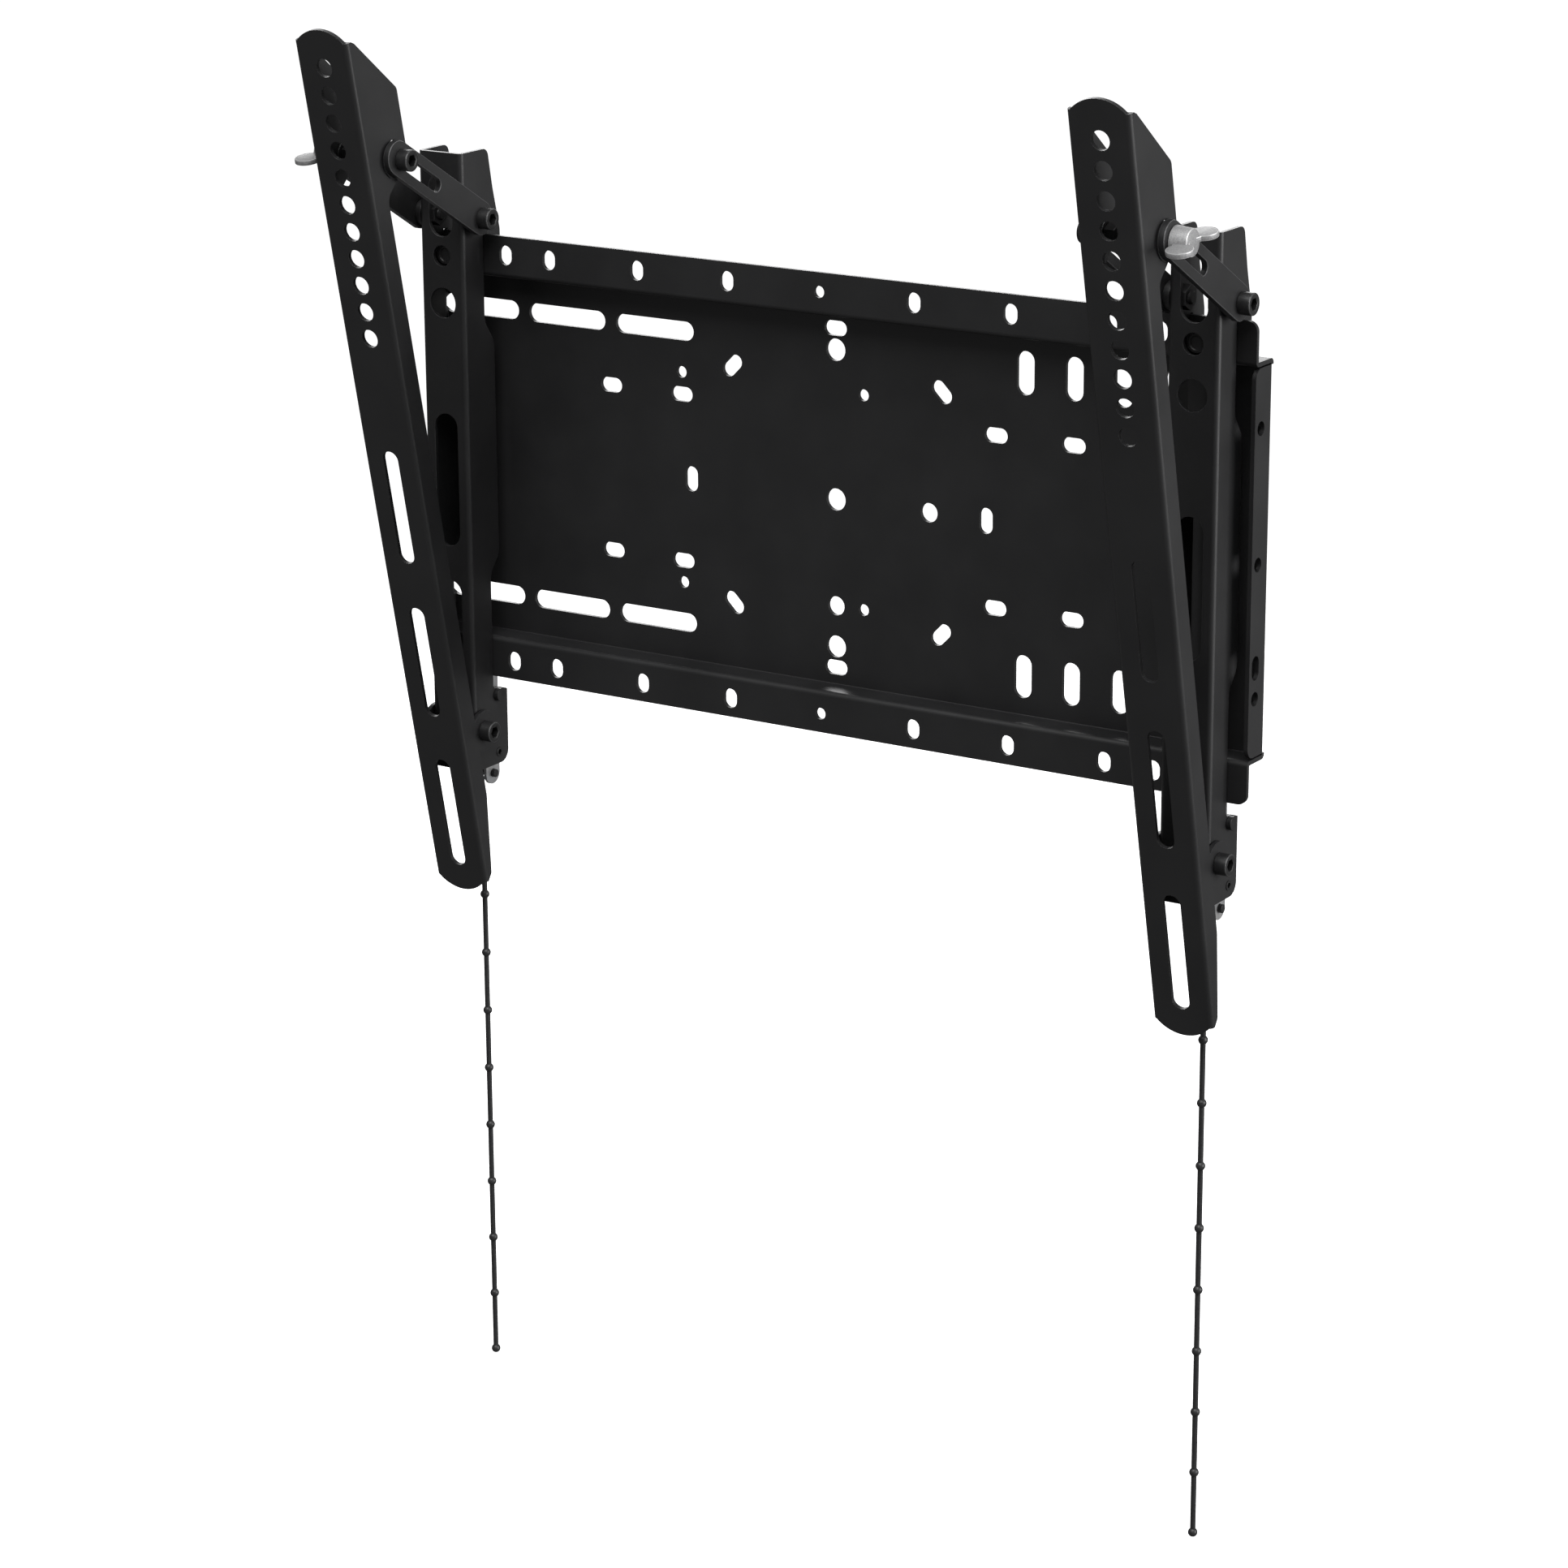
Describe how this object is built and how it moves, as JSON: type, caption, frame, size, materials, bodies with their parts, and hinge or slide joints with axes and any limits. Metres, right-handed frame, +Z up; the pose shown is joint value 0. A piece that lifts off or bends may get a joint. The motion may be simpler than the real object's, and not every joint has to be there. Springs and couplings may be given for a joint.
{
  "type": "tv mount",
  "caption": "Tilting wall mount with a folded wall plate, two hooked arms, slotted stays, wing bolts and pull-cord latches.",
  "frame": {"origin": "centre of the wall plate, on the wall plane, midway between the two centre anchor holes", "axes": "+X along the plate to the right arm, +Y into the wall, +Z up"},
  "size_m": [0.466, 0.1202, 0.6822],
  "materials": {
    "plate_coat": "fine matt black powder coat",
    "bracket_coat": "fine matt black powder coat",
    "rail_coat": "fine matt black powder coat",
    "stay_coat": "fine matt black powder coat",
    "black_oxide": "black oxide, slightly oily sheen",
    "zinc": "bright zinc plating",
    "zinc_cast": "satin zinc die casting",
    "spring_steel": "plated wire",
    "cord_plastic": "black plastic"
  },
  "bodies": {
    "wall": {"wall_plate": "plate_coat"},
    "left_bracket": {"left_hook_bracket": "bracket_coat", "left_lock_plate": "bracket_coat", "left_lock_screw": "black_oxide", "left_stay_pivot_screws": "black_oxide", "left_stay_pivot_nuts": "black_oxide", "left_stay_spacers": "black_oxide", "left_tilt_pivot_screws": "black_oxide", "left_latch_rivets": "black_oxide", "left_latch_spring": "spring_steel"},
    "left_rail": {"left_display_rail": "rail_coat"},
    "left_stays": {"left_outer_stay": "stay_coat", "left_inner_stay": "stay_coat"},
    "left_clamp": {"left_clamp_screw": "black_oxide", "left_clamp_washers": "black_oxide", "left_clamp_nuts": "black_oxide"},
    "left_wing": {"left_wing_bolt": "zinc_cast"},
    "left_latch": {"left_latch_plate": "zinc", "left_latch_pin": "black_oxide", "left_pull_cord": "cord_plastic", "left_cord_beads": "cord_plastic"},
    "right_bracket": {"right_hook_bracket": "bracket_coat", "right_lock_plate": "bracket_coat", "right_lock_screw": "black_oxide", "right_stay_pivot_screws": "black_oxide", "right_stay_pivot_nuts": "black_oxide", "right_stay_spacers": "black_oxide", "right_tilt_pivot_screws": "black_oxide", "right_latch_rivets": "black_oxide", "right_latch_spring": "spring_steel"},
    "right_rail": {"right_display_rail": "rail_coat"},
    "right_stays": {"right_outer_stay": "stay_coat", "right_inner_stay": "stay_coat"},
    "right_clamp": {"right_clamp_screw": "black_oxide", "right_clamp_washers": "black_oxide", "right_clamp_nuts": "black_oxide"},
    "right_wing": {"right_wing_bolt": "zinc_cast"},
    "right_latch": {"right_latch_plate": "zinc", "right_latch_pin": "black_oxide", "right_pull_cord": "cord_plastic", "right_cord_beads": "cord_plastic"}
  },
  "joints": [
    {"name": "left_arm_slide", "type": "slide", "parent": "wall", "child": "left_bracket", "axis": [-1, 0, 0], "range_m": [-0.15, 0.007]},
    {"name": "left_tilt", "type": "hinge", "parent": "left_bracket", "child": "left_rail", "pos_m": [-0.2, -0.0278, -0.1324], "axis": [-1, 0, 0], "range_deg": [0, 12]},
    {"name": "left_stay_swing", "type": "hinge", "parent": "left_bracket", "child": "left_stays", "pos_m": [-0.2, -0.0253, 0.1175], "axis": [-1, 0, 0], "range_deg": [0, 52]},
    {"name": "left_clamp_slide", "type": "slide", "parent": "left_stays", "child": "left_clamp", "axis": [0, 0.8598, -0.5107], "range_m": [0, 0.0302]},
    {"name": "left_wing_turn", "type": "hinge", "parent": "left_clamp", "child": "left_wing", "pos_m": [-0.2, -0.08591, 0.1535], "axis": [1, 0, 0], "continuous": true},
    {"name": "left_latch_pull", "type": "slide", "parent": "left_bracket", "child": "left_latch", "axis": [0, 0, -1], "range_m": [0, 0.0105], "stiffness_N_per_m": 400, "springref_m": -0.006, "deforming": ["left_latch_spring"]},
    {"name": "right_arm_slide", "type": "slide", "parent": "wall", "child": "right_bracket", "axis": [1, 0, 0], "range_m": [-0.15, 0.007]},
    {"name": "right_tilt", "type": "hinge", "parent": "right_bracket", "child": "right_rail", "pos_m": [0.2, -0.0278, -0.1324], "axis": [-1, 0, 0], "range_deg": [0, 12]},
    {"name": "right_stay_swing", "type": "hinge", "parent": "right_bracket", "child": "right_stays", "pos_m": [0.2, -0.0253, 0.1175], "axis": [-1, 0, 0], "range_deg": [0, 52]},
    {"name": "right_clamp_slide", "type": "slide", "parent": "right_stays", "child": "right_clamp", "axis": [0, 0.8598, -0.5107], "range_m": [0, 0.0302]},
    {"name": "right_wing_turn", "type": "hinge", "parent": "right_clamp", "child": "right_wing", "pos_m": [0.2, -0.08591, 0.1535], "axis": [1, 0, 0], "continuous": true},
    {"name": "right_latch_pull", "type": "slide", "parent": "right_bracket", "child": "right_latch", "axis": [0, 0, -1], "range_m": [0, 0.0105], "stiffness_N_per_m": 400, "springref_m": -0.006, "deforming": ["right_latch_spring"]}
  ],
  "couplings": [
    {"joint": "left_stay_swing", "follows": "left_tilt", "ratio": 4.3},
    {"joint": "left_clamp_slide", "follows": "left_tilt", "m_per_rad": 0.14324},
    {"joint": "right_stay_swing", "follows": "right_tilt", "ratio": 4.3},
    {"joint": "right_clamp_slide", "follows": "right_tilt", "m_per_rad": 0.14324}
  ]
}
